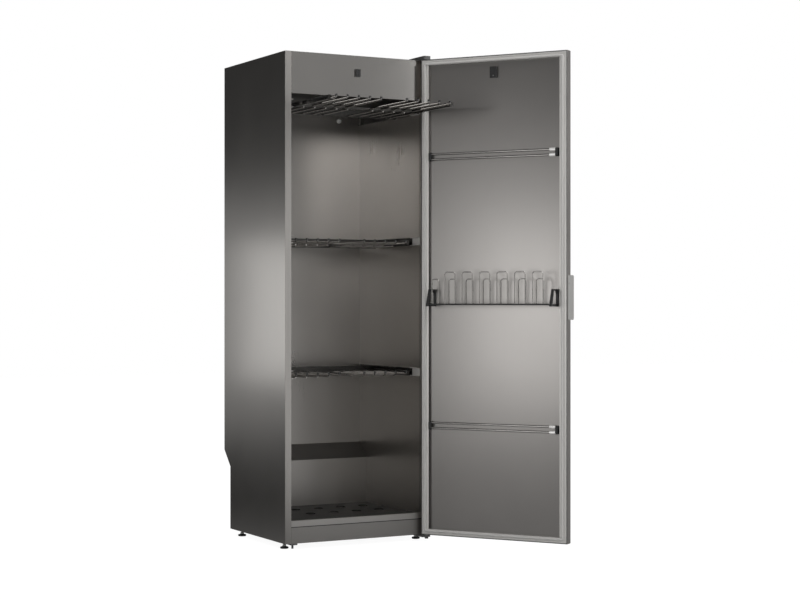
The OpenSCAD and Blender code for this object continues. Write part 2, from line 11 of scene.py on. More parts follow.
import bmesh
import bpy
from mathutils import Matrix, Vector


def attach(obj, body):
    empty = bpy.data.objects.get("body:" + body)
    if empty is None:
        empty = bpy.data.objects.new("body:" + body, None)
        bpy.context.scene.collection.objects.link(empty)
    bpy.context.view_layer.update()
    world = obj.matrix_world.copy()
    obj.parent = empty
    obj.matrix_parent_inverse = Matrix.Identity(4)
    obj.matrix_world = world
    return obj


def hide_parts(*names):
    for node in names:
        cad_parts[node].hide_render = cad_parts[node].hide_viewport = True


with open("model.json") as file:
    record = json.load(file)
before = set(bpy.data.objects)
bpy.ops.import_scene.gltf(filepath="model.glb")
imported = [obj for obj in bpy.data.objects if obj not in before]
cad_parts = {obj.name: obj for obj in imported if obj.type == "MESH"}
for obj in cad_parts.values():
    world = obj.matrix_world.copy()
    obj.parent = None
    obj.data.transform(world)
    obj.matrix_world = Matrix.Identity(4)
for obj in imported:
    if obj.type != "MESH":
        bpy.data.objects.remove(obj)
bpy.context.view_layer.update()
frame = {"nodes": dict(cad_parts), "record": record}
nodes = frame["nodes"]

# %% [markdown]
# ## Places
# The drawing counts millimetres from the cabinet's front left bottom corner, and the door has its
# own places: along from its hinged edge, outwards from its inner face, and up. Two small functions
# turn both into metres in the frame, so a cap or a rivet is placed by the numbers of the drawing.

# %% Sizes and places of the drawing
MM = 0.001
BODY_W, BODY_D, BODY_H, FOOT_H = 595, 567, 1807, 22
MIDDLE, WALL = BODY_W / 2, 25
DOOR_H, DOOR_Z, DOOR_GAP = 1803, 3, 8
HINGE_IN, HINGE_BACK, DOOR_OPEN = 14.2, 15.3, math.radians(124)
RACK_LEVELS = {"top": 1610, "middle": 1111, "bottom": 612}
RACK_TIPS = {"top": -292, "middle": 41, "bottom": 41}


def place(x, y, z):
    """Metres in the frame from millimetres of the drawing."""
    return Vector(((x - MIDDLE) * MM, (y - BODY_D / 2) * MM, (z + FOOT_H) * MM))


def door_place(s, t, z):
    """The same for a point of the door, turned with it to where it stands open."""
    x, y = HINGE_IN - s, HINGE_BACK - t
    c, w = math.cos(DOOR_OPEN), math.sin(DOOR_OPEN)
    back = -DOOR_GAP - HINGE_BACK + x * w + y * c
    return place(BODY_W - HINGE_IN + x * c - y * w, back, z + DOOR_Z)


print("door's free edge at", tuple(round(v, 3) for v in door_place(BODY_W, 0, 0)))

# %% [markdown]
# ## The camera
# The photograph was taken with a long lens from the front left, level with the middle of the
# cabinet, so upright edges stay upright. The camera stands where the edges of the body and of the
# open door both meet the picture.

# %% Camera
CAMERA_AT, CAMERA_TURN, LENS, SENSOR = (-2.9965, -6.0926, 0.9159), -28.68, 78.66, 36
camera_data = bpy.data.cameras.new("camera")
camera_data.lens = LENS
camera_data.sensor_width = SENSOR
camera = bpy.data.objects.new("camera", camera_data)
camera.location = CAMERA_AT
camera.rotation_euler = (math.radians(90), 0, math.radians(CAMERA_TURN))
bpy.context.scene.collection.objects.link(camera)
bpy.context.scene.camera = camera
print("camera", tuple(round(v, 2) for v in camera.location), "lens", camera_data.lens)

# %% [markdown]
# ## Shader groups
# A brushed sheet has fine scratches that all run one way, and on top of them a slow change from
# handling and cleaning. Both are noise on Object coordinates, the first stretched hard along the
# brushing. As every steel finish uses them, they are one group with named inputs. All trees here,
# of shaders as of shapes, are built with one small function that adds a node.

# %% Adding a node


def add(tree, kind, links=None, values=None, **settings):
    """A node with its settings. values and links go to its inputs, by name or number."""
    node = tree.nodes.new(kind)
    for key, value in settings.items():
        setattr(node, key, value)
    for key, value in (values or {}).items():
        node.inputs[key].default_value = value
    for key, source in (links or {}).items():
        tree.links.new(source, node.inputs[key])
    return node


# %% A group for fine grain and slow clouding


def surface_grain():
    tree = bpy.data.node_groups.new("surface_grain", "ShaderNodeTree")
    for title, kind, default in (("Brushing", "Vector", (300, 300, 4)), ("Fleck", "Float", 900.0),
                                 ("Cloud", "Float", 3.0)):
        socket = tree.interface.new_socket(name=title, in_out="INPUT",
                                           socket_type="NodeSocket" + kind)
        socket.default_value = default
    for title in ("Grain", "Fleck", "Cloud"):
        tree.interface.new_socket(name=title, in_out="OUTPUT", socket_type="NodeSocketFloat")
    given = tree.nodes.new("NodeGroupInput").outputs
    coords = add(tree, "ShaderNodeTexCoord").outputs["Object"]
    stretch = add(tree, "ShaderNodeVectorMath", {0: coords, 1: given["Brushing"]},
                  operation="MULTIPLY")
    lines = add(tree, "ShaderNodeTexNoise", {"Vector": stretch.outputs[0]},
                {"Scale": 1.0, "Detail": 3.0, "Roughness": 0.6})
    fleck = add(tree, "ShaderNodeTexNoise", {"Vector": coords, "Scale": given["Fleck"]},
                {"Detail": 2.0, "Roughness": 0.5})
    cloud = add(tree, "ShaderNodeTexNoise", {"Vector": coords, "Scale": given["Cloud"]},
                {"Detail": 3.0, "Roughness": 0.55, "Distortion": 0.4})
    add(tree, "NodeGroupOutput", {"Grain": lines.outputs["Fac"], "Fleck": fleck.outputs["Fac"],
                                  "Cloud": cloud.outputs["Fac"]})
    return tree


GRAIN = surface_grain()
print("group", GRAIN.name, "with", len(GRAIN.nodes), "nodes")

# %% [markdown]
# Every finish is then the same recipe with other amounts: two tones mixed by the cloud and the
# grain, a roughness that follows them, and a bump of a few hundredths of a millimetre. The
# constants, such as metalness, stay on the shader itself.

# %% The recipe for a finish
FINISHES = {}


def ramp(tree, source, low, high):
    """Maps a noise value, which hovers around a half, to low..high."""
    return add(tree, "ShaderNodeMapRange", {"Value": source},
               {"From Min": 0.3, "From Max": 0.7, "To Min": low, "To Max": high}).outputs["Result"]


def finish(name, tone, dark, metallic=0.0, rough=(0.4, 0.5), brushing=(40, 40, 40), fleck=900.0,
           cloud=3.0, grain_share=0.3, bump=0.02, bump_of="Grain", **constants):
    """Adds a procedural material. tone and dark are the two colours that the noises mix."""
    material = bpy.data.materials.new(name)
    material.use_nodes = True
    tree = material.node_tree
    shader = tree.nodes["Principled BSDF"]
    shader.inputs["Metallic"].default_value = metallic
    for key, value in constants.items():
        shader.inputs[key.replace("_", " ")].default_value = value
    grain = add(tree, "ShaderNodeGroup", node_tree=GRAIN,
                values={"Brushing": brushing, "Fleck": fleck, "Cloud": cloud}).outputs
    blend = add(tree, "ShaderNodeMix", {"A": grain["Cloud"], "B": grain[bump_of]},
                {"Factor": grain_share}, data_type="FLOAT").outputs["Result"]
    tones = add(tree, "ShaderNodeMix", {"Factor": ramp(tree, blend, 0, 1)},
                {"A": (*dark, 1), "B": (*tone, 1)}, data_type="RGBA")
    relief = add(tree, "ShaderNodeBump", {"Height": grain[bump_of]},
                 {"Strength": bump, "Distance": 0.001})
    tree.links.new(tones.outputs["Result"], shader.inputs["Base Color"])
    tree.links.new(ramp(tree, blend, *rough), shader.inputs["Roughness"])
    tree.links.new(relief.outputs["Normal"], shader.inputs["Normal"])
    FINISHES[name] = material


# %% [markdown]
# The large sheets are brushed upright, the strips along their length, and the racks' bars across
# the cabinet. What is visible of the steel is mostly what it mirrors, so its own tones differ
# little, and the width of its highlights, the roughness, tells the sheets apart. The plastics and
# paints take their small relief from the flecks instead of the brushing.

# %% Steel finishes
UPRIGHT, LEVEL, ACROSS = (420, 420, 3.5), (3.5, 3.5, 420), (3.5, 420, 420)
FLECKS = {"bump_of": "Fleck"}
finish("case_steel", (0.405, 0.39, 0.371), (0.365, 0.352, 0.336), 1.0, (0.31, 0.35), UPRIGHT,
       grain_share=0.2, bump=0.006)
finish("front_steel", (0.43, 0.415, 0.395), (0.40, 0.387, 0.37), 1.0, (0.11, 0.15), LEVEL, bump=0.0)
finish("plinth_steel", (0.37, 0.357, 0.342), (0.34, 0.328, 0.314), 1.0, (0.36, 0.42), LEVEL)
finish("door_steel", (0.41, 0.392, 0.376), (0.375, 0.359, 0.345), 1.0, (0.30, 0.34), UPRIGHT,
       grain_share=0.2, bump=0.006)
finish("liner_steel", (0.52, 0.50, 0.475), (0.485, 0.466, 0.445), 1.0, (0.27, 0.30), UPRIGHT,
       grain_share=0.15, bump=0.003)
# The ceiling is liner steel like the walls; its near-black tone is painted shade for the deep shade
# under the top.
finish("ceiling_sheet", (0.05, 0.049, 0.047), (0.035, 0.034, 0.033), 1.0, (0.4, 0.5), LEVEL,
       bump=0.03)
finish("trim_steel", (0.51, 0.495, 0.475), (0.45, 0.437, 0.42), 1.0, (0.34, 0.44), LEVEL, bump=0.03)
finish("frame_steel", (0.70, 0.685, 0.66), (0.66, 0.645, 0.62), 0.6, (0.40, 0.50), UPRIGHT)
# The fold of the door's inner frame: its dark tone is painted shade and painted reflection of the
# dark inside.
finish("return_steel", (0.20, 0.195, 0.188), (0.16, 0.155, 0.15), 1.0, (0.34, 0.42), UPRIGHT)
finish("dark_sheet", (0.015, 0.0145, 0.014), (0.010, 0.0097, 0.0095), 0.0, (0.42, 0.52), LEVEL,
       Specular_IOR_Level=0.12)
finish("slide_steel", (0.085, 0.082, 0.078), (0.06, 0.058, 0.055), 1.0, (0.22, 0.32), ACROSS,
       bump=0.03)
finish("rod_coat", (0.34, 0.33, 0.315), (0.28, 0.27, 0.26), 1.0, (0.10, 0.14), **FLECKS)
finish("zinc_sheet", (0.50, 0.51, 0.52), (0.40, 0.41, 0.42), 1.0, (0.4, 0.56), (30, 30, 30),
       cloud=14.0, bump=0.05, **FLECKS)
finish("bright_wire", (0.52, 0.505, 0.485), (0.45, 0.44, 0.42), 1.0, (0.10, 0.18), bump=0.01,
       **FLECKS)
# Polished ferrules: near-white, partly their own polish and partly a painted highlight.
finish("ferrule_metal", (0.92, 0.91, 0.89), (0.86, 0.85, 0.83), 0.5, (0.24, 0.30), bump=0.01,
       **FLECKS)
finish("handle_alloy", (0.36, 0.355, 0.345), (0.32, 0.315, 0.305), 0.35, (0.36, 0.44), UPRIGHT)
finish("heater_tube", (0.30, 0.27, 0.24), (0.17, 0.14, 0.13), 1.0, (0.3, 0.5), cloud=20.0,
       bump=0.05)
finish("screw_steel", (0.62, 0.62, 0.60), (0.5, 0.5, 0.48), 1.0, (0.22, 0.36), bump=0.03)
print(len(FINISHES), "steel finishes")

# %% Paint, plastic, rubber and board
finish("hinge_paint", (0.15, 0.15, 0.148), (0.11, 0.11, 0.109), 0.6, (0.34, 0.46), bump=0.06,
       **FLECKS)
finish("black_plastic", (0.022, 0.022, 0.022), (0.014, 0.014, 0.014), 0.0, (0.42, 0.58), bump=0.12,
       **FLECKS)
finish("cap_plastic", (0.018, 0.018, 0.018), (0.012, 0.012, 0.012), 0.0, (0.16, 0.24), bump=0.0,
       Coat_Weight=0.4, Coat_Roughness=0.1)
finish("gloss_black", (0.014, 0.014, 0.015), (0.010, 0.010, 0.011), 0.0, (0.08, 0.14), bump=0.0,
       Coat_Weight=0.6, Coat_Roughness=0.05)
finish("window", (0.02, 0.035, 0.042), (0.015, 0.026, 0.032), 0.0, (0.05, 0.09), bump=0.0,
       Coat_Weight=1.0, Coat_Roughness=0.03)
finish("lamp_lens", (0.10, 0.42, 0.14), (0.08, 0.34, 0.11), 0.0, (0.08, 0.14), bump=0.0,
       Coat_Weight=0.5, Coat_Roughness=0.05)
finish("key_plastic", (0.055, 0.055, 0.057), (0.04, 0.04, 0.042), 0.0, (0.36, 0.48), bump=0.1,
       **FLECKS)
finish("white_plastic", (0.80, 0.79, 0.77), (0.72, 0.71, 0.69), 0.0, (0.30, 0.40), bump=0.05,
       **FLECKS)
finish("gasket_rubber", (0.47, 0.462, 0.447), (0.42, 0.413, 0.40), 0.0, (0.5, 0.66), bump=0.15,
       **FLECKS)
finish("insulation", (0.78, 0.72, 0.55), (0.62, 0.56, 0.40), 0.0, (0.85, 0.95), (60, 60, 400),
       fleck=400.0, bump=0.8)
# Black paint of the fan motor. On the base pan the same black is painted shade, darkening what
# shows through the floor holes.
finish("motor_paint", (0.030, 0.030, 0.032), (0.020, 0.020, 0.021), 0.0, (0.4, 0.55), bump=0.2,
       Specular_IOR_Level=0.2, **FLECKS)
print(len(FINISHES), "finishes in all")

# %% [markdown]
# ## Dressing the frame
# Most parts keep their CAD solid and only get a finish. Folded sheets and moulded blocks never
# have knife-sharp corners, though, and it is the small round along an edge that catches the light.
# A second list therefore names the parts that are copied, merged, and given a narrow bevel; the
# copy then stands for the CAD node.

# %% Which part has which finish
SLIDES = [level + part for level in RACK_LEVELS for part in ("_carriage", "_rack_frame")]
RODS = [level + part for level in RACK_LEVELS for part in ("_carriage_rods", "_rack_rods")]
DRESS = {
    "case_steel": ["left_side_panel", "right_side_panel", "top_panel"],
    "front_steel": ["fascia"],
    "plinth_steel": ["plinth"],
    "door_steel": ["door_skin", "door_liner"],
    "liner_steel": ["liner_left", "liner_right", "liner_back"],
    "ceiling_sheet": ["liner_ceiling"],
    "trim_steel": ["sill_strip"],
    "frame_steel": ["door_frame", "rail_brackets"],
    "dark_sheet": ["floor_plate"],
    "zinc_sheet": ["rear_panel", "fan_housing", "exhaust_collar", "air_duct", "fan_impeller"],
    "slide_steel": ["wall_rails", *SLIDES],
    "rod_coat": RODS,
    "bright_wire": ["door_rails", "glove_rack"],
    "handle_alloy": ["door_handle"],
    "hinge_paint": ["top_hinge", "bottom_hinge"],
    "black_plastic": ["levelling_feet", "cabinet_contact", "door_contact", "rail_ends",
                      "glove_ends", "cable_gland"],
    "gloss_black": ["control_panel"],
    "window": ["display_window"],
    "key_plastic": ["power_button", "program_button", "start_button"],
    "white_plastic": ["air_sensor", "control_box", "hinge_bushes"],
    "gasket_rubber": ["door_gasket"],
    "insulation": ["insulation_boards", "door_insulation"],
    "heater_tube": ["heater"],
    # The fan motor is painted black; the base pan's black is painted shade under the floor holes.
    "motor_paint": ["fan_motor", "base_pan"],
    "screw_steel": ["cabinet_screws", "door_screws"],
}
finish_of = {node: name for name, group in DRESS.items() for node in group}
body_of = {node: body for body, group in frame["record"]["behaviour"]["bodies"].items()
           for node in group}
slot_of = {part["node"]: part["material_slot"] for part in frame["record"]["subparts"]}
for node, name in finish_of.items():
    nodes[node].data.materials.clear()
    nodes[node].data.materials.append(FINISHES[name])
print("dressed", len(finish_of), "nodes; left out:", sorted(set(nodes) - set(finish_of)))

# %% Keeping and baking a piece


def kept(obj, body, slot, material, *replaced):
    """Puts a finished piece into the scene: finish, body, and the nodes it stands for. slot is not
    used.
    """
    bpy.context.scene.collection.objects.link(obj)
    obj.data.materials.clear()
    obj.data.materials.append(FINISHES[material])
    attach(obj, body)
    if replaced:
        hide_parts(*replaced)
    return obj


def baked(obj):
    """Turns an object with modifiers into a plain mesh object of the same name."""
    bpy.context.scene.collection.objects.link(obj)
    seen = bpy.context.evaluated_depsgraph_get()
    mesh = bpy.data.meshes.new_from_object(obj.evaluated_get(seen))
    name = obj.name
    bpy.data.objects.remove(obj)
    return bpy.data.objects.new(name, mesh)


# %% Rounded sheet edges
ROUNDED = {
    "left_side_panel": 0.6, "right_side_panel": 0.6, "top_panel": 0.4, "fascia": 0.5, "plinth": 0.5,
    "sill_strip": 0.5, "door_skin": 0.9, "door_frame": 0.4, "door_handle": 0.8, "top_hinge": 0.8,
    "bottom_hinge": 0.8, "rail_ends": 1.2, "door_rails": 0.8, "cabinet_contact": 0.8,
    "door_contact": 1.5, "control_panel": 0.6, "rail_brackets": 0.3, **dict.fromkeys(SLIDES, 0.4),
}
ROUND_STEPS, SHARP_FROM, FLAT_WITHIN, SAME_POINT = 2, math.radians(40), math.radians(1), 1e-6


def rounded_copy(node, width):
    """A copy of a node with merged points, flat faces joined and every sharp edge bevelled."""
    mesh = nodes[node].data.copy()
    bm = bmesh.new()
    bm.from_mesh(mesh)
    bmesh.ops.remove_doubles(bm, verts=bm.verts, dist=SAME_POINT)
    bmesh.ops.dissolve_limit(bm, angle_limit=FLAT_WITHIN, verts=bm.verts, edges=bm.edges)
    bm.to_mesh(mesh)
    bm.free()
    if mesh.attributes.get("custom_normal"):
        mesh.attributes.remove(mesh.attributes["custom_normal"])
    mesh.shade_smooth()
    obj = bpy.data.objects.new(node + "_rounded", mesh)
    bevel = obj.modifiers.new("round", "BEVEL")
    bevel.width = width * MM
    bevel.segments = ROUND_STEPS
    bevel.limit_method = "ANGLE"
    bevel.angle_limit = SHARP_FROM
    obj.modifiers.new("keep_faces_flat", "WEIGHTED_NORMAL").weight = 100
    return kept(baked(obj), body_of[node], slot_of[node], finish_of[node], node)


for node, width in ROUNDED.items():
    piece = rounded_copy(node, width)
    print(piece.name, len(piece.data.polygons), "faces")

# %% [markdown]
# Two pieces need a second finish on some of their faces. The door's inner frame is folded back
# round the recess: that fold lies in the shade of the frame and mirrors the dark inside, and that
# shade and reflection are painted into its dark tone. It is found by its normals, because the
# frame's front looks the way the door looks, and the fold looks across it. The hanging rails end in
# polished ferrules at the free edge, found by how far along the door their faces lie; their
# near-white tone is partly the polished metal and partly a painted highlight.

# %% Painted shade on the frame's fold, polished ferrules with a painted highlight
FOLD_TILT, FERRULES_FROM = 0.4, 524.5


def second_finish(node, material, chosen):
    """Gives those faces of a rounded piece for which chosen is true another finish."""
    piece = bpy.data.objects[node + "_rounded"]
    piece.data.materials.append(FINISHES[material])
    faces = [face for face in piece.data.polygons if chosen(face)]
    for face in faces:
        face.material_index = 1
    print(node, "has", len(faces), "faces of", material)


door_corner = door_place(0, 0, 0)
facing = (door_place(0, -1, 0) - door_corner).normalized()
along = (door_place(1, 0, 0) - door_corner).normalized()
# The fold's faces get the painted shade.
second_finish("door_frame", "return_steel", lambda face: abs(face.normal.dot(facing)) < FOLD_TILT)
# The ferrules' bright tone is partly a painted highlight.
second_finish("door_rails", "ferrule_metal",
              lambda face: (face.center - door_corner).dot(along) > FERRULES_FROM * MM)

# %% [markdown]
# ## Making small parts
# The small parts are drawn in millimetres, in the drawing's own places, and settled into the frame
# by one matrix for the body and one for the open door. Round parts are turned on a lathe: a list of
# radius and height pairs, going up the outside, becomes rings of points with a face between each
# two. A socket is the same list going down again inside, with its rings squeezed to a hexagon.
# Other parts are prisms: an outline, or an outline with a hole, pulled from one level to another.

# %% From the drawing into the frame
BODY = Matrix.LocRotScale(place(0, 0, 0), None, Vector((MM, MM, MM)))
DOOR = Matrix.Identity(4)
for axis, unit in enumerate(((1, 0, 0), (0, 1, 0), (0, 0, 1))):
    DOOR.col[axis] = (*(door_place(*unit) - door_corner), 0)
DOOR.col[3] = (*door_corner, 1)
print("door turns by", round(math.degrees(DOOR.to_euler().z), 1), "degrees")


def settled(obj, where, body, slot, material, *replaced, sharp=35):
    """Moves a part from the drawing to the frame, smooths its round faces and keeps it."""
    obj.data.transform(where)
    obj.data.shade_smooth()
    obj.data.set_sharp_from_angle(angle=math.radians(sharp))
    print(obj.name, len(obj.data.polygons), "faces")
    return kept(obj, body, slot, material, *replaced)


# %% The lathe


def mesh_object(name, bm):
    """An object with the mesh that was drawn in bm."""
    mesh = bpy.data.meshes.new(name)
    bm.to_mesh(mesh)
    bm.free()
    return bpy.data.objects.new(name, mesh)


def turned(name, profile, steps=24, hexagon=()):
    """A shape turned around Z. A radius of 0 is a pole, and hexagon lists the hexagonal rings."""
    bm = bmesh.new()
    rings = []
    for number, (radius, height) in enumerate(profile):
        if radius == 0:
            rings.append([bm.verts.new((0, 0, height))])
            continue
        ring = []
        for k in range(steps):
            angle = math.tau * k / steps
            r = radius
            if number in hexagon:
                r *= math.cos(math.pi / 6) / math.cos(angle % (math.pi / 3) - math.pi / 6)
            ring.append(bm.verts.new((r * math.cos(angle), r * math.sin(angle), height)))
        rings.append(ring)
    for low, high in zip(rings, rings[1:]):
        for k in range(steps):
            corners = (low[k % len(low)], low[(k + 1) % len(low)],
                       high[(k + 1) % len(high)], high[k % len(high)])
            bm.faces.new(list(dict.fromkeys(corners)))
    return mesh_object(name, bm)


def faced_outwards(obj, same_point=None):
    """Turns a mesh's faces outwards, after points that are closer than same_point became one."""
    bm = bmesh.new()
    bm.from_mesh(obj.data)
    if same_point:
        bmesh.ops.remove_doubles(bm, verts=bm.verts, dist=same_point)
    bmesh.ops.recalc_face_normals(bm, faces=bm.faces)
    bm.to_mesh(obj.data)
    bm.free()
    return obj


# %% Prisms


def prism(name, outlines, low, high, axis=0):
    """A closed shape between two levels of one axis. With two outlines the second is a hole."""
    bm = bmesh.new()
    ends = []
    for level in (low, high):
        for outline in outlines:
            places = [list(point) for point in outline]
            for point in places:
                point.insert(axis, level)
            ends.append([bm.verts.new(point) for point in places])
    count, half = len(outlines[0]), len(outlines)
    pairs = [(ends[side], ends[half + side]) for side in range(half)]
    if half == 2:
        pairs += [ends[:half], ends[half:]]
    else:
        bm.faces.new(ends[0])
        bm.faces.new(ends[1])
    for one, other in pairs:
        for k in range(count):
            after = (k + 1) % count
            bm.faces.new((one[k], one[after], other[after], other[k]))
    bmesh.ops.recalc_face_normals(bm, faces=bm.faces)
    return mesh_object(name, bm)


def rounded_outline(corners, radius, steps=4):
    """The outline with an arc in place of each corner."""
    done = []
    for before, corner, after in zip(corners[-1:] + corners, corners, corners[1:] + corners[:1]):
        a, b, c = Vector(before), Vector(corner), Vector(after)
        start = b + (a - b).normalized() * radius
        stop = b + (c - b).normalized() * radius
        for k in range(steps + 1):
            f = k / steps
            done.append(tuple(start * (1 - f) ** 2 + b * (2 * f * (1 - f)) + stop * f ** 2))
    return done


# %% [markdown]
# ## Trees for what repeats
# A cabinet repeats itself: ten caps on a rack's tips, rows of rivets and louvres on the back, round
# holes in the floor, screws. Copying each by hand would work, but then a change of the spacing
# means moving every copy. A Geometry Nodes tree holds the rule instead, and its inputs are the
# sizes. Each tree ends by making the copies real and giving them their finish, and the result is
# taken as one plain mesh.

# %% The start and the end of a tree


def growing(name, *inputs):
    """A new geometry tree with named inputs."""
    tree = bpy.data.node_groups.new(name, "GeometryNodeTree")
    tree.is_modifier = True
    tree.interface.new_socket(name="Geometry", in_out="OUTPUT", socket_type="NodeSocketGeometry")
    for title, kind in (("Geometry", "Geometry"), *inputs, ("Finish", "Material")):
        tree.interface.new_socket(name=title, in_out="INPUT", socket_type="NodeSocket" + kind)
    return tree, tree.nodes.new("NodeGroupInput").outputs


def finished_tree(tree, given, geometry):
    """Ends a tree: real copies with their finish."""
    real = add(tree, "GeometryNodeRealizeInstances", {"Geometry": geometry.outputs[0]})
    painted = add(tree, "GeometryNodeSetMaterial", {"Geometry": real.outputs[0],
                                                    "Material": given["Finish"]})
    add(tree, "NodeGroupOutput", {0: painted.outputs[0]})
    print("tree", tree.name, "with", len(tree.nodes), "nodes")
    return tree


def loose_points(name, points=()):
    """A mesh of points alone, for a tree to start from."""
    mesh = bpy.data.meshes.new(name + "_start")
    mesh.from_pydata(list(points), [], [])
    return mesh


def grown(name, tree, start=None, **values):
    """The plain mesh that a tree makes. Inputs are named with _ for a space."""
    obj = bpy.data.objects.new(name, start or loose_points(name))
    growth = obj.modifiers.new("growth", "NODES")
    growth.node_group = tree
    sockets = {item.name: item.identifier for item in tree.interface.items_tree
               if item.in_out == "INPUT"}
    for title, value in values.items():
        growth[sockets[title.replace("_", " ")]] = value
    done = baked(obj)
    for value in values.values():
        if isinstance(value, bpy.types.Object):
            bpy.data.objects.remove(value)
    return done


# %% The rule for rows


def rows_tree():
    tree, given = growing(
        "rows_of_parts", ("Part", "Object"), ("Columns", "Int"), ("Column Step", "Vector"),
        ("Rows", "Int"), ("Row Step", "Vector"), ("Start", "Vector"), ("Turn", "Vector"))
    column = add(tree, "GeometryNodeMeshLine", {
        "Count": given["Columns"], "Start Location": given["Start"],
        "Offset": given["Column Step"]})
    row = add(tree, "GeometryNodeMeshLine", {"Count": given["Rows"], "Offset": given["Row Step"]})
    grid = add(tree, "GeometryNodeInstanceOnPoints", {
        "Points": row.outputs[0], "Instance": column.outputs[0]})
    places = add(tree, "GeometryNodeRealizeInstances", {"Geometry": grid.outputs[0]})
    part = add(tree, "GeometryNodeObjectInfo", {"Object": given["Part"]})
    turn = add(tree, "FunctionNodeEulerToRotation", {"Euler": given["Turn"]})
    copies = add(tree, "GeometryNodeInstanceOnPoints", {
        "Points": places.outputs[0], "Instance": part.outputs["Geometry"],
        "Rotation": turn.outputs[0]})
    return finished_tree(tree, given, copies)


# Turns that make a part, drawn standing up, look another way.
UP, DOWN, RIGHT = (0, 0, 0), (math.pi, 0, 0), (0, math.pi / 2, 0)
BACK, FRONT = (-math.pi / 2, 0, 0), (math.pi / 2, 0, 0)
ROWS = rows_tree()


def in_rows(name, part, material, start, columns, rows=(1, (0, 0, 0)), turn=UP):
    """Copies of a part in rows. columns and rows are each a count and a step."""
    return grown(name, ROWS, Part=part, Columns=columns[0], Column_Step=columns[1], Rows=rows[0],
                 Row_Step=rows[1], Start=start, Turn=turn, Finish=FINISHES[material])


# %% [markdown]
# ## Caps on the rods
# A glove or a sleeve is pushed over each rod, so the turned-up tip of a rod wears a small smooth
# cap. One cap is turned, and the rule for rows sets it on all ten tips of a rack: two groups of
# five with a gap in the middle. The side channels end in small closed stops.

# %% Rod caps and channel stops
FIRST_ROD, ROD_STEP, GROUP_STEP = 65, 45, 285
CHANNEL_X, CHANNEL_STEP, CAP_BACK, STOP_BACK = 47.25, 500.5, 3.5, 22.5
for level, height in RACK_LEVELS.items():
    tip, body = RACK_TIPS[level], level + "_rack_body"
    cap = turned("cap", [(0, 5), (4.0, 5), (4.3, 5.6), (4.3, 11.2), (3.7, 12.2), (2.2, 12.8),
                         (0, 13)], 16)
    settled(in_rows(level + "_rod_caps", cap, "cap_plastic", (FIRST_ROD, tip + CAP_BACK, height),
                    (5, (ROD_STEP, 0, 0)), (2, (GROUP_STEP, 0, 0))),
            BODY, body, "black_plastic", "cap_plastic")
    outline = rounded_outline([(-6.2, -6.4), (6.2, -6.4), (6.2, 10.4), (-6.2, 10.4)], 2.2)
    settled(in_rows(level + "_channel_stops", prism("stop", [outline], 0, 4, axis=1),
                    "slide_steel", (CHANNEL_X, tip + STOP_BACK, height),
                    (2, (CHANNEL_STEP, 0, 0))),
            BODY, body, "slide_steel", "slide_steel")

# %% [markdown]
# ## The floor's holes and the fan guard
# Warm air rises through round holes in the floor plate. A drawn rim keeps their edges from cutting
# gloves: a ring with a rounded top, placed by the same rule for rows. Under the ceiling a guard of
# wire rings covers the fan's inlet. Its rule is a radius that grows ring by ring, so it has a tree
# of its own: circles are scaled while they are still curves, and only then get their wire, which
# would otherwise grow thicker outwards. A thin black seal closes the joint between sill and plinth;
# its black is partly the seal and partly a painted shadow line under the sill strip.

# %% Hole rims
FIRST_HOLE, HOLE_STEP, HOLE_ROW_STEP, WELD = (101.5, 198, 80), 98, 135, 1e-4
rim = turned("rim", [(17.6, -1.2), (17.6, 0.6), (18.1, 1.1), (19.0, 1.1), (20.0, 0.1),
                     (20.0, -0.4), (18.6, -1.2), (17.6, -1.2)], 32)
rims = in_rows("floor_hole_rims", rim, "dark_sheet", FIRST_HOLE, (5, (HOLE_STEP, 0, 0)),
               (2, (0, HOLE_ROW_STEP, 0)))
settled(faced_outwards(rims, WELD), BODY, "cabinet", "dark_sheet", "dark_sheet")

# %% Seal under the sill strip, its black partly a painted shadow line
# The seal's black stands partly for the joint and partly for the shadow under the sill strip:
# painted shade.
SEAL_AND_SHADOW_LINE = rounded_outline([(-0.4, 58.8), (-0.4, 61.8), (0.5, 61.8), (0.5, 58.8)], 0.25, 3)
settled(prism("sill_seal", [SEAL_AND_SHADOW_LINE], WALL, BODY_W - WALL), BODY, "cabinet", "gasket_rubber",
        "black_plastic")

# %% The rule for a ring guard


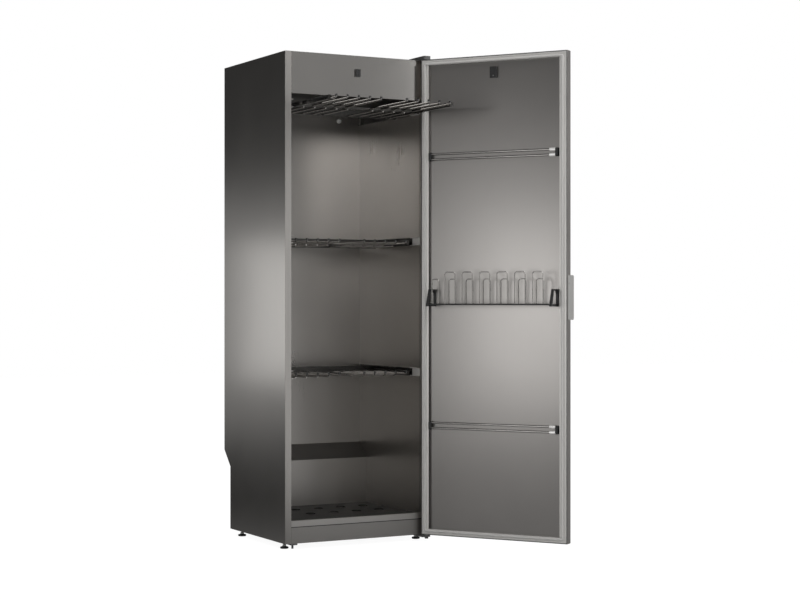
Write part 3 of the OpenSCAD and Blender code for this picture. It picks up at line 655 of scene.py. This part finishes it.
def guard_tree():
    tree, given = growing(
        "ring_guard", ("Rings", "Int"), ("First Radius", "Float"), ("Ring Step", "Float"),
        ("Spokes", "Int"), ("Wire", "Float"), ("Centre", "Vector"))
    index = add(tree, "GeometryNodeInputIndex").outputs[0]

    def radius_of(number):
        return add(tree, "ShaderNodeMath", {
            0: number, 1: given["Ring Step"], 2: given["First Radius"]},
            operation="MULTIPLY_ADD").outputs[0]

    def in_the_middle(count):
        return add(tree, "GeometryNodeMeshLine", {"Count": count}, {"Offset": (0, 0, 0)}).outputs[0]

    circle = add(tree, "GeometryNodeCurvePrimitiveCircle", values={"Resolution": 48, "Radius": 1.0})
    rings = add(tree, "GeometryNodeInstanceOnPoints", {
        "Points": in_the_middle(given["Rings"]), "Instance": circle.outputs[0],
        "Scale": radius_of(index)})
    tip = add(tree, "ShaderNodeCombineXYZ", {"X": radius_of(given["Rings"])})
    spoke = add(tree, "GeometryNodeCurvePrimitiveLine", {"End": tip.outputs[0]})
    share = add(tree, "ShaderNodeMath", {1: given["Spokes"]}, {0: math.tau}, operation="DIVIDE")
    angle = add(tree, "ShaderNodeMath", {0: index, 1: share.outputs[0]}, operation="MULTIPLY")
    angles = add(tree, "ShaderNodeCombineXYZ", {"Z": angle.outputs[0]})
    turn = add(tree, "FunctionNodeEulerToRotation", {"Euler": angles.outputs[0]})
    spokes = add(tree, "GeometryNodeInstanceOnPoints", {
        "Points": in_the_middle(given["Spokes"]), "Instance": spoke.outputs[0],
        "Rotation": turn.outputs[0]})
    both = add(tree, "GeometryNodeJoinGeometry")
    for geometry in (rings, spokes):
        tree.links.new(geometry.outputs[0], both.inputs[0])
    curves = add(tree, "GeometryNodeRealizeInstances", {"Geometry": both.outputs[0]})
    section = add(tree, "GeometryNodeCurvePrimitiveCircle", {"Radius": given["Wire"]},
                  {"Resolution": 8})
    wires = add(tree, "GeometryNodeCurveToMesh", {
        "Curve": curves.outputs[0], "Profile Curve": section.outputs[0]}, {"Fill Caps": True})
    there = add(tree, "GeometryNodeTransform", {
        "Geometry": wires.outputs[0], "Translation": given["Centre"]})
    return finished_tree(tree, given, there)


# %% Fan guard
guard = grown("fan_guard", guard_tree(), Rings=4, First_Radius=11.0, Ring_Step=11.0, Spokes=3,
              Wire=1.1, Centre=(MIDDLE, 250.0, 1651.6), Finish=FINISHES["bright_wire"])
settled(guard, BODY, "cabinet", "bright_trim", "bright_wire", sharp=60)

# %% [markdown]
# ## Screws
# Screws sit at odd places and face all ways, so their rule is another one: the points of a mesh,
# each with its own turn and size, and a part on each. The head has a hexagon socket, which is what
# makes a screw read as a screw from close by.

# %% The rule for scattered parts


def scattered_tree():
    tree, given = growing("parts_at_points", ("Part", "Object"))
    part = add(tree, "GeometryNodeObjectInfo", {"Object": given["Part"]})
    turn = add(tree, "GeometryNodeInputNamedAttribute", data_type="FLOAT_VECTOR",
               values={"Name": "turn"})
    size = add(tree, "GeometryNodeInputNamedAttribute", data_type="FLOAT", values={"Name": "size"})
    euler = add(tree, "FunctionNodeEulerToRotation", {"Euler": turn.outputs[0]})
    copies = add(tree, "GeometryNodeInstanceOnPoints", {
        "Points": given["Geometry"], "Instance": part.outputs["Geometry"],
        "Rotation": euler.outputs[0], "Scale": size.outputs[0]})
    return finished_tree(tree, given, copies)


SCATTERED = scattered_tree()


def scattered(name, part, places, material):
    """Copies of a part at places, each a point, a turn and a size."""
    start = loose_points(name, [point for point, turn, size in places])
    start.attributes.new("turn", "FLOAT_VECTOR", "POINT")
    start.attributes.new("size", "FLOAT", "POINT")
    for number, (point, turn, size) in enumerate(places):
        start.attributes["turn"].data[number].vector = turn
        start.attributes["size"].data[number].value = size
    return grown(name, SCATTERED, start, Part=part, Finish=FINISHES[material])


def screw():
    """A pan head one unit in radius, with a hexagon socket."""
    return turned("screw", [(0, 0), (1, 0), (1, 0.22), (0.9, 0.4), (0.62, 0.5), (0.46, 0.5),
                            (0.42, 0.46), (0.42, 0.16), (0, 0.14)], 24, hexagon=(5, 6, 7))


# %% Screws of the body and of the door
HEAD, HANDLE_HEAD, SMALL_HEAD = 4, 3, 2
body_screws = [((x, y, 1811), UP, HEAD) for x, y in ((573, 18), (583, 42), (573, 66))]
body_screws += [((x, 25, -6), DOWN, HEAD) for x in (564, 582)]
body_screws += [((x, BODY_D, z), BACK, HEAD) for x in (20, MIDDLE - 60, MIDDLE + 60, 575)
                for z in (340, 1787)]
settled(scattered("socket_screws", screw(), body_screws, "screw_steel"), BODY, "cabinet",
        "screw_steel", "screw_steel", "cabinet_screws")
door_screws = [((597.5, 16, 848), RIGHT, HANDLE_HEAD), ((597.5, 16, 952), RIGHT, HANDLE_HEAD),
               ((MIDDLE, 3, 1727), FRONT, SMALL_HEAD)]
settled(scattered("door_socket_screws", screw(), door_screws, "handle_alloy"), DOOR, "door",
        "screw_steel", "handle_alloy", "door_screws")

# %% [markdown]
# ## The back
# Nobody sees the back in the photograph, yet it is a sheet of zinc plated steel like on any such
# cabinet: rivets along both edges, three pressed beads that keep the large sheet from drumming,
# and louvres that let the motor breathe. All of them are rows. A louvre is a flat hood, drawn from
# its section; a bead is a long half round ridge.

# %% Rivets, beads and louvres
ZINC, EDGE_IN, LOW_BACK = ("cabinet", "zinc_sheet", "zinc_sheet"), 8, 508
FIRST_BEAD, BEAD_STEP, BEAD_LENGTH = (167.5, BODY_D, 380), 130, 1240
FIRST_LOUVRE, LOUVRE_STEP, LOUVRE_RISE, LOUVRE_LENGTH = (110, BODY_D, 1672), 92, 15, 74
both_edges = (2, (BODY_W - 2 * EDGE_IN, 0, 0))
for name, back, low, columns in (("rear_rivets", BODY_D, 400, (12, (0, 0, 124))),
                                 ("rear_low_rivets", LOW_BACK, 30, (3, (0, 0, 90)))):
    rivet = turned("rivet", [(0, -0.5), (2.9, -0.5), (2.9, 0.2), (2.5, 0.8), (1.6, 1.2), (0, 1.4)],
                   12)
    settled(in_rows(name, rivet, "zinc_sheet", (EDGE_IN, back, low), columns, both_edges, BACK),
            BODY, *ZINC)
ridge = [(-7, -0.4), (-6, 0.1), (-3.5, 1.1), (0, 1.6), (3.5, 1.1), (6, 0.1), (7, -0.4)]
settled(in_rows("rear_beads", prism("bead", [ridge], 0, BEAD_LENGTH, axis=2), "zinc_sheet",
                FIRST_BEAD, (3, (BEAD_STEP, 0, 0))), BODY, *ZINC, sharp=50)
hood = [(-0.4, -5), (-0.4, 5), (0.3, 4.8), (1.7, 1.5), (1.9, -2.5), (1.9, -3.4), (1.4, -3.4),
        (0.2, -5)]
settled(in_rows("rear_louvres", prism("louvre", [hood], 0, LOUVRE_LENGTH), "zinc_sheet",
                FIRST_LOUVRE, (2, (LOUVRE_STEP, 0, 0)), (7, (0, 0, LOUVRE_RISE))),
        BODY, *ZINC, sharp=20)

# %% [markdown]
# ## Feet
# Each foot is a moulded pad on a threaded steel stud with a nut. The thread follows a rule, a
# helix, so a tree makes it: a spiral curve with a small section swept along it, on all four studs.

# %% The rule for a thread


def thread_tree():
    tree, given = growing("stud_thread", ("Radius", "Float"), ("Turns", "Float"),
                          ("Length", "Float"), ("Depth", "Float"), ("Height", "Float"))
    helix = add(tree, "GeometryNodeCurveSpiral", {
        "Rotations": given["Turns"], "Start Radius": given["Radius"],
        "End Radius": given["Radius"], "Height": given["Length"]}, {"Resolution": 16})
    section = add(tree, "GeometryNodeCurvePrimitiveCircle", {"Radius": given["Depth"]},
                  {"Resolution": 4})
    thread = add(tree, "GeometryNodeCurveToMesh", {
        "Curve": helix.outputs[0], "Profile Curve": section.outputs[0]}, {"Fill Caps": True})
    lift = add(tree, "ShaderNodeCombineXYZ", {"Z": given["Height"]})
    raised = add(tree, "GeometryNodeTransform", {
        "Geometry": thread.outputs[0], "Translation": lift.outputs[0]})
    copies = add(tree, "GeometryNodeInstanceOnPoints", {
        "Points": given["Geometry"], "Instance": raised.outputs[0]})
    return finished_tree(tree, given, copies)


# %% Feet
FEET = [(x, y, 0) for x in (20, 575) for y in (50, 438)]
STUD_R, THREAD_DEPTH, PITCHES, THREAD_LENGTH, THREAD_FROM = 3.7, 0.45, 16.0, 20.0, -7.4
on_feet = [(point, UP, 1) for point in FEET]
pad = turned("pad", [(0, -22), (13.2, -22), (15.2, -21.2), (15.5, -20), (15.5, -16.6),
                     (14.6, -15.4), (9.5, -14.2), (8.2, -13.2), (0, -13.2)], 32)
settled(scattered("foot_pads", pad, on_feet, "black_plastic"), BODY, "cabinet", "black_plastic",
        "black_plastic", "levelling_feet")
stud = turned("stud", [(0, -13.4), (7.4, -13.4), (7.4, -8.2), (6.6, -7.6), (STUD_R, -7.6),
                       (STUD_R, 13), (3.1, 14), (0, 14)], 24, hexagon=(1, 2))
settled(scattered("foot_studs", stud, on_feet, "screw_steel"), BODY, "cabinet", "screw_steel",
        "screw_steel")
threads = grown("foot_threads", thread_tree(), loose_points("foot_threads", FEET), Radius=STUD_R,
                Turns=PITCHES, Length=THREAD_LENGTH, Depth=THREAD_DEPTH, Height=THREAD_FROM,
                Finish=FINISHES["screw_steel"])
settled(threads, BODY, "cabinet", "screw_steel", "screw_steel")

# %% [markdown]
# ## The exhaust collar
# A hose is pushed over the collar on the roof. A rolled bead near its top keeps the hose on, and
# its flange is riveted down.

# %% Collar bead and rivets
COLLAR_Y, RIVET_CIRCLE, FLANGE_Z = 410, 56, 1809
roll = [(48.6, 24.6), (49.4, 24.4), (50.6, 24.9), (51.1, 26.2), (50.6, 27.5), (49.4, 28),
        (48.6, 27.8), (48.6, 24.6)]
bead_ring = faced_outwards(turned("collar_bead", roll, 64), WELD)
bead_ring.data.transform(Matrix.Translation((MIDDLE, COLLAR_Y, BODY_H)))
settled(bead_ring, BODY, *ZINC)
dome = turned("dome", [(0, -0.5), (2.6, -0.5), (2.6, 0.2), (2.2, 0.9), (1.2, 1.3), (0, 1.4)], 12)
around = [(MIDDLE + RIVET_CIRCLE * math.cos(a), COLLAR_Y + RIVET_CIRCLE * math.sin(a), FLANGE_Z)
          for a in (math.tau * k / 6 for k in range(6))]
settled(scattered("collar_rivets", dome, [(point, UP, 1) for point in around], "screw_steel"),
        BODY, "cabinet", "screw_steel", "screw_steel")

# %% [markdown]
# ## The gasket
# A magnetic gasket runs round the door: a foot pressed into the frame, two soft folds, and a flat
# face that meets the body. It is one section swept along a rectangle with small round corners,
# which is what the extruded and welded strip really is. The same tree makes the thin dark edge
# strip that closes the seam between the door's skin and its inner frame: another section, another
# rectangle.

# %% The rule for a strip round the door


def strip_tree():
    tree, given = growing("strip_round_frame", ("Section", "Object"), ("Width", "Float"),
                          ("Height", "Float"), ("Corner", "Float"))
    line = add(tree, "GeometryNodeCurvePrimitiveQuadrilateral", {
        "Width": given["Width"], "Height": given["Height"]})
    soft = add(tree, "GeometryNodeFilletCurve", {
        "Curve": line.outputs[0], "Radius": given["Corner"]}, {"Count": 6}, mode="POLY")
    section = add(tree, "GeometryNodeObjectInfo", {"Object": given["Section"]})
    strip = add(tree, "GeometryNodeCurveToMesh", {
        "Curve": soft.outputs[0], "Profile Curve": section.outputs["Geometry"]})
    return finished_tree(tree, given, strip)


STRIP = strip_tree()
# The tree sweeps flat on the ground, with the section's outside down: turned over and stood up.
ON_DOOR = (Matrix.Translation((BODY_W / 2, 0, DOOR_H / 2))
           @ Matrix.Rotation(math.radians(90), 4, "X") @ Matrix.Scale(-1, 4, (0, 0, 1)))


def strip_round_door(name, outline, material, width, height, corner):
    """A strip whose section is drawn as pairs of across and outwards."""
    curve = bpy.data.curves.new(name + "_section", "CURVE")
    spline = curve.splines.new("POLY")
    spline.points.add(len(outline) - 1)
    for point, (across, out) in zip(spline.points, outline):
        point.co = (across, out, 0, 1)
    spline.use_cyclic_u = True
    strip = grown(name, STRIP, Section=bpy.data.objects.new(name + "_section", curve),
                  Width=width, Height=height, Corner=corner, Finish=FINISHES[material])
    strip.data.transform(ON_DOOR)
    return faced_outwards(strip)


# %% Gasket and edge strip
GASKET_SIZE, EDGE_SIZE = (561.0, 1769.0, 6.0), (591.4, 1799.4, 1.5)  # width, height, corner
FOLDS = [(-4.5, -0.9), (-4.5, 0.2), (-3.2, 0.5), (-2.6, 1.4), (-3.6, 2.1), (-3.6, 2.7), (-2.7, 3.4),
         (-3.7, 4.1), (-3.9, 5.0), (-3.9, 6.6), (-3.3, 7.2), (3.3, 7.2), (3.9, 6.6), (3.9, 5.0),
         (3.7, 4.1), (2.7, 3.4), (3.6, 2.7), (3.6, 2.1), (2.6, 1.4), (3.2, 0.5), (4.5, 0.2),
         (4.5, -0.9)]
gasket = strip_round_door("gasket_strip", FOLDS, "gasket_rubber", *GASKET_SIZE)
settled(gasket, DOOR, "door", "gasket_rubber", "gasket_rubber", "door_gasket", sharp=50)
EDGE = [(-1.7, -0.3), (1.7, -0.3), (1.7, 0.3), (1.1, 0.8), (-1.1, 0.8), (-1.7, 0.3)]
edge_strip = strip_round_door("door_edge_strip", EDGE, "hinge_paint", *EDGE_SIZE)
settled(edge_strip, DOOR, "door", "gasket_rubber", "hinge_paint", sharp=50)

# %% [markdown]
# ## Ends of the glove rack
# The glove hoops stand on two thin bars between looped brackets. A bracket is a band bent into a
# loop and screwed to the door: an outline with rounded corners and a second one inside it as the
# hole, given the band's width.

# %% Looped brackets and base bars
GLOVE_Z, LOOP_X, LOOP_STEP, LOOP_WIDE = 873, 46, 500, 10
BAR_X, BAR_Y, BAR_STEP, BAR_LENGTH = 55, -50, 22, 492
loop = prism("loop", [rounded_outline([(14, -6), (-56, -6), (-34, 58), (4, 58), (14, 44)], 4),
                      rounded_outline([(9, 3), (-46, 3), (-30.5, 52.5), (1.5, 52.5), (9, 42)], 3)],
             0, LOOP_WIDE)
settled(in_rows("glove_rack_loops", loop, "black_plastic", (LOOP_X, 0, GLOVE_Z),
                (2, (LOOP_STEP, 0, 0))), DOOR, "door", "black_plastic", "black_plastic",
        "glove_ends")
bar_outline = rounded_outline([(-2.4, -1.2), (2.4, -1.2), (2.4, 4.6), (-2.4, 4.6)], 1.2, 3)
settled(in_rows("glove_rack_bars", prism("bar", [bar_outline], 0, BAR_LENGTH), "black_plastic",
                (BAR_X, BAR_Y, GLOVE_Z), (2, (0, BAR_STEP, 0))),
        DOOR, "door", "black_plastic", "black_plastic")

# %% [markdown]
# ## The control panel
# The panel faces outwards on the door. Small lamps tell what runs, and each key wears a plain mark:
# a ring with a bar for power, three bars for the program, an arrow for start. The marks are thin
# plates, and each rides on its own key.

# %% Lamps of the panel
PANEL_LEFT, PANEL_Z, PANEL_FACE, KEY_FACE = 167.5, 1740, 34, 35.5
LAMPS_X, LAMP_STEP = PANEL_LEFT + 232, 9
lens = turned("lens", [(0, -0.5), (1.7, -0.5), (1.7, 0.2), (1.3, 0.7), (0, 0.9)], 16)
settled(in_rows("panel_lamps", lens, "lamp_lens", (LAMPS_X, PANEL_FACE, PANEL_Z - LAMP_STEP),
                (1, (0, 0, 0)), (3, (0, 0, LAMP_STEP)), BACK),
        DOOR, "door", "white_plastic", "lamp_lens")

# %% Marks of the keys


def arc(radius, start, stop, steps=20):
    angles = [math.radians(start + (stop - start) * k / steps) for k in range(steps + 1)]
    return [(radius * math.sin(a), radius * math.cos(a)) for a in angles]


def bar_mark(half_width, half_height, x=0.0, z=0.0):
    return [(x - half_width, z - half_height), (x + half_width, z - half_height),
            (x + half_width, z + half_height), (x - half_width, z + half_height)]


# For each key: how far along the panel it is, and the outlines of its mark.
MARKS = {
    "power": (60, [arc(4.6, 35, 325) + arc(3.6, 325, 35), bar_mark(0.5, 2.1, z=3.3)]),
    "program": (92, [bar_mark(4, 0.55, z=z) for z in (-2.6, 0, 2.6)]),
    "start": (200, [[(3.2, -4), (3.2, 4), (-3.8, 0)]]),
}
for key, (across, outlines) in MARKS.items():
    whole = bmesh.new()
    for outline in outlines:
        plate = prism("plate", [outline], -0.2, 0.25, axis=1)
        whole.from_mesh(plate.data)
        bpy.data.objects.remove(plate)
    mark = mesh_object(key + "_mark", whole)
    mark.data.transform(Matrix.Translation((PANEL_LEFT + across, KEY_FACE, PANEL_Z)))
    settled(mark, DOOR, key + "_key", "white_plastic", "white_plastic")

# %% [markdown]
# ## The studio
# A pale floor and an evenly white surround, as in a catalogue picture. Brushed dark steel shows
# its surroundings more than its own colour, so what the camera sees as white is dim for a glossy
# ray, and grows a little lighter towards the front right, where a studio has its open side.

# %% Mixing shaders
FRONT_RIGHT = (0.45, -0.9, 0)


def towards_front(tree, source, low, high, reach):
    """A value that grows from low to high towards the front right of the studio."""
    dot = add(tree, "ShaderNodeVectorMath", {0: source}, {1: FRONT_RIGHT}, operation="DOT_PRODUCT")
    return add(tree, "ShaderNodeMapRange", {"Value": dot.outputs["Value"]}, {
        "From Min": -reach, "From Max": reach, "To Min": low, "To Max": high}).outputs["Result"]


def either(tree, share, first, second):
    """The first shader where share is 0, and the second where it is 1."""
    return add(tree, "ShaderNodeMixShader", {0: share, 1: first.outputs[0], 2: second.outputs[0]})


# %% Floor
FLOOR_REACH, FLOOR_GLOW, GLOW_SHARE = 14.0, 1.10, 0.86
SHEEN_DIM, SHEEN_BRIGHT, SHEEN_REACH = 0.028, 0.27, 1.2
floor_mesh = bpy.data.meshes.new("studio_floor")
floor_mesh.from_pydata([(x * FLOOR_REACH, y * FLOOR_REACH, 0)
                        for x, y in ((-1, -1), (1, -1), (1, 1), (-1, 1))], [], [(0, 1, 2, 3)])
floor = bpy.data.objects.new("studio_floor", floor_mesh)
bpy.context.scene.collection.objects.link(floor)
floor_paint = bpy.data.materials.new("floor_paint")
floor_paint.use_nodes = True
tree = floor_paint.node_tree
tree.nodes.clear()
path = add(tree, "ShaderNodeLightPath").outputs
spot = add(tree, "ShaderNodeTexCoord").outputs["Object"]
matt = add(tree, "ShaderNodeBsdfDiffuse", values={"Color": (0.75, 0.75, 0.75, 1)})
pale = add(tree, "ShaderNodeBsdfDiffuse", values={"Color": (0.95, 0.95, 0.95, 1)})
glow = add(tree, "ShaderNodeEmission", values={"Strength": FLOOR_GLOW})
bright = add(tree, "ShaderNodeMixShader", {1: pale.outputs[0], 2: glow.outputs[0]},
             {0: GLOW_SHARE})
sheen = add(tree, "ShaderNodeEmission", {
    "Strength": towards_front(tree, spot, SHEEN_DIM, SHEEN_BRIGHT, SHEEN_REACH)})
seen = either(tree, path["Is Camera Ray"], matt, bright)
seen = either(tree, path["Is Glossy Ray"], seen, sheen)
add(tree, "ShaderNodeOutputMaterial", {"Surface": seen.outputs[0]})
floor_mesh.materials.append(floor_paint)
print("floor is", 2 * FLOOR_REACH, "m wide")

# %% World
FILL, MIRROR_DIM, MIRROR_BRIGHT = 0.58, 0.042, 0.19
world = bpy.data.worlds.new("studio_world")
bpy.context.scene.world = world
world.use_nodes = True
tree = world.node_tree
tree.nodes.clear()
path = add(tree, "ShaderNodeLightPath").outputs
ahead = add(tree, "ShaderNodeTexCoord").outputs["Generated"]
even = {"Color": (1, 1, 1, 1)}
fill = add(tree, "ShaderNodeBackground", values={**even, "Strength": FILL})
white = add(tree, "ShaderNodeBackground", values={**even, "Strength": 1.0})
mirror = add(tree, "ShaderNodeBackground", {
    "Strength": towards_front(tree, ahead, MIRROR_DIM, MIRROR_BRIGHT, 1.0)}, even)
lit = either(tree, path["Is Glossy Ray"], fill, mirror)
straight = add(tree, "ShaderNodeMath", {
    0: path["Is Camera Ray"], 1: path["Is Transmission Ray"]}, operation="MAXIMUM")
surround = either(tree, straight.outputs[0], lit, white)
add(tree, "ShaderNodeOutputWorld", {"Surface": surround.outputs[0]})
print("world fill", FILL)

# %% [markdown]
# The soft boxes are placed by the mirror rule: the brushed side, the inside of the door and the
# fascia each show the box that stands where a mirror there would look. Each is only as tall as the
# bright band it makes. The last three light the whole cabinet, also from its right and from behind.

# %% Soft boxes
SOFT_BOXES = {  # place, the point it looks at, width, height, watts
    "box_for_side": ((-0.90, 0.62, 0.87), (-0.2975, -0.50, 0.865), 0.60, 0.60, 1.15),
    "box_for_side_far": ((-1.75, 2.45, 0.84), (-0.30, -0.2, 0.86), 1.9, 1.3, 2.9),
    "box_for_door": ((-1.15, -1.05, 0.87), (0.47, -0.62, 0.87), 0.6, 0.8, 2.0),
    "box_for_door_far": ((-2.60, -1.10, 0.95), (0.45, -0.56, 0.92), 1.0, 1.8, 4.6),
    "box_for_fascia": ((1.55, -3.10, 2.22), (0.1, -0.28, 1.78), 1.8, 0.7, 0.83),
    "box_for_flange": ((0.45, -1.75, 0.78), (-0.285, -0.28, 0.80), 0.4, 1.5, 1.6),
    "box_inside_high": ((-1.75, -4.20, 2.10), (0.05, 0.22, 1.5), 1.0, 0.6, 12),
    "box_front_top": ((0.2, -2.2, 3.1), (0.1, 0.0, 1.0), 1.2, 1.2, 23),
    "box_right": ((3.1, -2.2, 1.5), (0.5, -0.6, 0.95), 3.2, 2.6, 42),
    "box_behind": ((1.3, 3.2, 2.3), (0.1, 0.28, 1.1), 1.6, 1.6, 24),
}
for name, (at, towards, width, height, power) in SOFT_BOXES.items():
    lamp = bpy.data.lights.new(name, "AREA")
    lamp.shape = "RECTANGLE"
    lamp.size, lamp.size_y = width, height
    lamp.energy = power
    obj = bpy.data.objects.new(name, lamp)
    obj.location = at
    obj.rotation_euler = (Vector(towards) - Vector(at)).to_track_quat("-Z", "Y").to_euler()
    obj.visible_camera = False
    bpy.context.scene.collection.objects.link(obj)
print("lamps:", ", ".join(SOFT_BOXES))

bpy.context.scene.view_settings.view_transform = "Standard"
